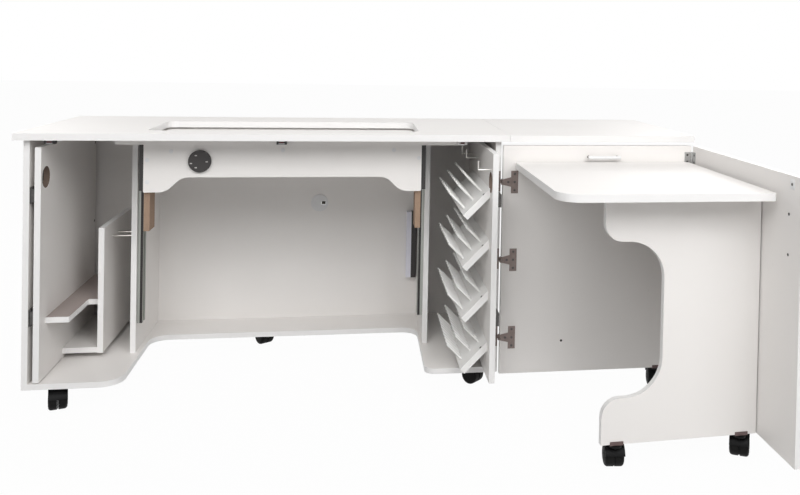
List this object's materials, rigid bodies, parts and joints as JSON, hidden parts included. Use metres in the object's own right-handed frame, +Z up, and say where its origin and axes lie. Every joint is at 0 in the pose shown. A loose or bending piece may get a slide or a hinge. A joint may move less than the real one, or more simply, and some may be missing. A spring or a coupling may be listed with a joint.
{
  "type": "sewing cabinet",
  "caption": "White board sewing cabinet on casters, opened out, with a machine lift in the worktop, pull-out storage, folding doors and a low side station on a shaped leg panel.",
  "frame": {"origin": "on the floor under the middle of the opened cabinet's bounding box", "axes": "+X to the user's right along the worktop, +Y towards the back, +Z up"},
  "size_m": [1.965, 1.214, 0.768],
  "materials": {
    "white_board": "satin white melamine on particle board",
    "raw_board": "raw fibreboard",
    "bronzed_steel": "bronze-brown plated steel",
    "plated_steel": "zinc plated steel",
    "aluminium_rail": "anodised",
    "black_plastic": "moulded matte black",
    "white_plastic": "moulded white",
    "brown_plastic": "moulded brown",
    "caster_black": "moulded nylon",
    "wheel_black": "nylon tread"
  },
  "bodies": {
    "cabinet": {"worktop": "white_board", "end_panel_left": "white_board", "end_panel_right": "white_board", "partition_left": "white_board", "partition_right": "white_board", "base": "white_board", "back_panel": "white_board", "front_rail": "white_board", "magnetic_catches": "black_plastic", "cable_grommet": "white_plastic", "upright_case": "black_plastic", "upright_case_cover": "white_plastic", "lift_rails": "aluminium_rail", "slide_channels": "plated_steel", "door_hinge_mounts": "bronzed_steel"},
    "lift": {"lift_platform": "white_board", "lift_valance": "white_board", "lift_side_plates": "raw_board", "lift_carriages": "black_plastic"},
    "dial": {"control_dial": "black_plastic"},
    "tower": {"tower_panel": "white_board", "tower_shelves": "white_board", "tower_divider": "white_board", "tower_hooks": "plated_steel", "tower_slide_members": "plated_steel"},
    "thread_rack": {"rack_panel": "white_board", "spool_racks": "white_board", "rack_hooks": "plated_steel", "rack_slide_members": "plated_steel"},
    "door_1": {"door_1": "white_board", "door_1_hinge_tees": "bronzed_steel", "door_1_handle": "white_plastic", "door_1_hinge_mounts": "plated_steel", "door_caster_plate": "brown_plastic"},
    "low_leaf": {"low_leaf": "white_board", "low_leaf_hinges": "plated_steel"},
    "door_2": {"door_2": "white_board", "door_2_hinge_leaves": "plated_steel", "door_2_handle": "white_plastic"},
    "leg_panel": {"leg_panel": "white_board", "leg_panel_hinges": "plated_steel", "leg_caster_plates": "brown_plastic"},
    "right_leaf": {"right_leaf": "white_board", "right_leaf_barrels": "plated_steel"},
    "caster_front_left_fork": {"caster_front_left_fork": "caster_black"},
    "caster_front_left_wheels": {"caster_front_left_wheels": "wheel_black"},
    "caster_front_right_fork": {"caster_front_right_fork": "caster_black"},
    "caster_front_right_wheels": {"caster_front_right_wheels": "wheel_black"},
    "caster_back_left_fork": {"caster_back_left_fork": "caster_black"},
    "caster_back_left_wheels": {"caster_back_left_wheels": "wheel_black"},
    "caster_back_middle_fork": {"caster_back_middle_fork": "caster_black"},
    "caster_back_middle_wheels": {"caster_back_middle_wheels": "wheel_black"},
    "caster_back_right_fork": {"caster_back_right_fork": "caster_black"},
    "caster_back_right_wheels": {"caster_back_right_wheels": "wheel_black"},
    "caster_door_fork": {"caster_door_fork": "caster_black"},
    "caster_door_wheels": {"caster_door_wheels": "wheel_black"},
    "caster_leg_outer_fork": {"caster_leg_outer_fork": "caster_black"},
    "caster_leg_outer_wheels": {"caster_leg_outer_wheels": "wheel_black"},
    "caster_leg_inner_fork": {"caster_leg_inner_fork": "caster_black"},
    "caster_leg_inner_wheels": {"caster_leg_inner_wheels": "wheel_black"}
  },
  "joints": [
    {"name": "lift_travel", "type": "slide", "parent": "cabinet", "child": "lift", "axis": [0, 0, 1], "range_m": [-0.25, 0]},
    {"name": "dial_turn", "type": "hinge", "parent": "lift", "child": "dial", "pos_m": [-0.5155, 0.135, 0.68], "axis": [0, -1, 0], "range_deg": [-120, 120]},
    {"name": "tower_pull", "type": "slide", "parent": "cabinet", "child": "tower", "axis": [0, -1, 0], "range_m": [0, 0.3]},
    {"name": "rack_pull", "type": "slide", "parent": "cabinet", "child": "thread_rack", "axis": [0, -1, 0], "range_m": [-0.134, 0.166]},
    {"name": "door_1_swing", "type": "hinge", "parent": "cabinet", "child": "door_1", "pos_m": [0.3515, 0.045, 0.4], "axis": [0, 0, 1], "range_deg": [-25, 0]},
    {"name": "low_leaf_lift", "type": "hinge", "parent": "door_1", "child": "low_leaf", "pos_m": [0.654, 0.036, 0.668], "axis": [-1, 0, 0], "range_deg": [0, 15]},
    {"name": "door_2_fold", "type": "hinge", "parent": "door_1", "child": "door_2", "pos_m": [0.9325, 0.036, 0.4], "axis": [0, 0, 1], "range_deg": [0, 90]},
    {"name": "leg_panel_fold", "type": "hinge", "parent": "door_2", "child": "leg_panel", "pos_m": [0.9325, -0.399, 0.4], "axis": [0, 0, 1], "range_deg": [-90, 0]},
    {"name": "right_leaf_flip", "type": "hinge", "parent": "cabinet", "child": "right_leaf", "pos_m": [0.372, 0.321, 0.769], "axis": [0, -1, 0], "range_deg": [0, 180]},
    {"name": "caster_front_left_swivel", "type": "hinge", "parent": "cabinet", "child": "caster_front_left_fork", "pos_m": [-0.8825, 0.108, 0.07], "axis": [0, 0, 1], "continuous": true},
    {"name": "caster_front_left_roll", "type": "hinge", "parent": "caster_front_left_fork", "child": "caster_front_left_wheels", "pos_m": [-0.87508, 0.08518, 0.027], "axis": [0.9511, 0.309, 0], "continuous": true},
    {"name": "caster_front_right_swivel", "type": "hinge", "parent": "cabinet", "child": "caster_front_right_fork", "pos_m": [0.2745, 0.169, 0.07], "axis": [0, 0, 1], "continuous": true},
    {"name": "caster_front_right_roll", "type": "hinge", "parent": "caster_front_right_fork", "child": "caster_front_right_wheels", "pos_m": [0.29147, 0.15203, 0.027], "axis": [0.7071, 0.7071, 0], "continuous": true},
    {"name": "caster_back_left_swivel", "type": "hinge", "parent": "cabinet", "child": "caster_back_left_fork", "pos_m": [-0.8825, 0.548, 0.07], "axis": [0, 0, 1], "continuous": true},
    {"name": "caster_back_left_roll", "type": "hinge", "parent": "caster_back_left_fork", "child": "caster_back_left_wheels", "pos_m": [-0.87875, 0.57171, 0.027], "axis": [-0.9877, 0.1564, 0], "continuous": true},
    {"name": "caster_back_middle_swivel", "type": "hinge", "parent": "cabinet", "child": "caster_back_middle_fork", "pos_m": [-0.3555, 0.548, 0.07], "axis": [0, 0, 1], "continuous": true},
    {"name": "caster_back_middle_roll", "type": "hinge", "parent": "caster_back_middle_fork", "child": "caster_back_middle_wheels", "pos_m": [-0.36927, 0.56766, 0.027], "axis": [-0.8192, -0.5736, 0], "continuous": true},
    {"name": "caster_back_right_swivel", "type": "hinge", "parent": "cabinet", "child": "caster_back_right_fork", "pos_m": [0.2695, 0.548, 0.07], "axis": [0, 0, 1], "continuous": true},
    {"name": "caster_back_right_roll", "type": "hinge", "parent": "caster_back_right_fork", "child": "caster_back_right_wheels", "pos_m": [0.27325, 0.57171, 0.027], "axis": [-0.9877, 0.1564, 0], "continuous": true},
    {"name": "caster_door_swivel", "type": "hinge", "parent": "door_1", "child": "caster_door_fork", "pos_m": [0.8405, 0.047, 0.07], "axis": [0, 0, 1], "continuous": true},
    {"name": "caster_door_roll", "type": "hinge", "parent": "caster_door_fork", "child": "caster_door_wheels", "pos_m": [0.84425, 0.07071, 0.027], "axis": [-0.9877, 0.1564, 0], "continuous": true},
    {"name": "caster_leg_outer_swivel", "type": "hinge", "parent": "leg_panel", "child": "caster_leg_outer_fork", "pos_m": [0.56258, -0.4294, 0.07], "axis": [0, 0, 1], "continuous": true},
    {"name": "caster_leg_outer_roll", "type": "hinge", "parent": "caster_leg_outer_fork", "child": "caster_leg_outer_wheels", "pos_m": [0.56509, -0.40553, 0.027], "axis": [-0.9945, 0.1045, 0], "continuous": true},
    {"name": "caster_leg_inner_swivel", "type": "hinge", "parent": "leg_panel", "child": "caster_leg_inner_fork", "pos_m": [0.89213, -0.41213, 0.07], "axis": [0, 0, 1], "continuous": true},
    {"name": "caster_leg_inner_roll", "type": "hinge", "parent": "caster_leg_inner_fork", "child": "caster_leg_inner_wheels", "pos_m": [0.90303, -0.39075, 0.027], "axis": [-0.891, 0.454, 0], "continuous": true}
  ]
}
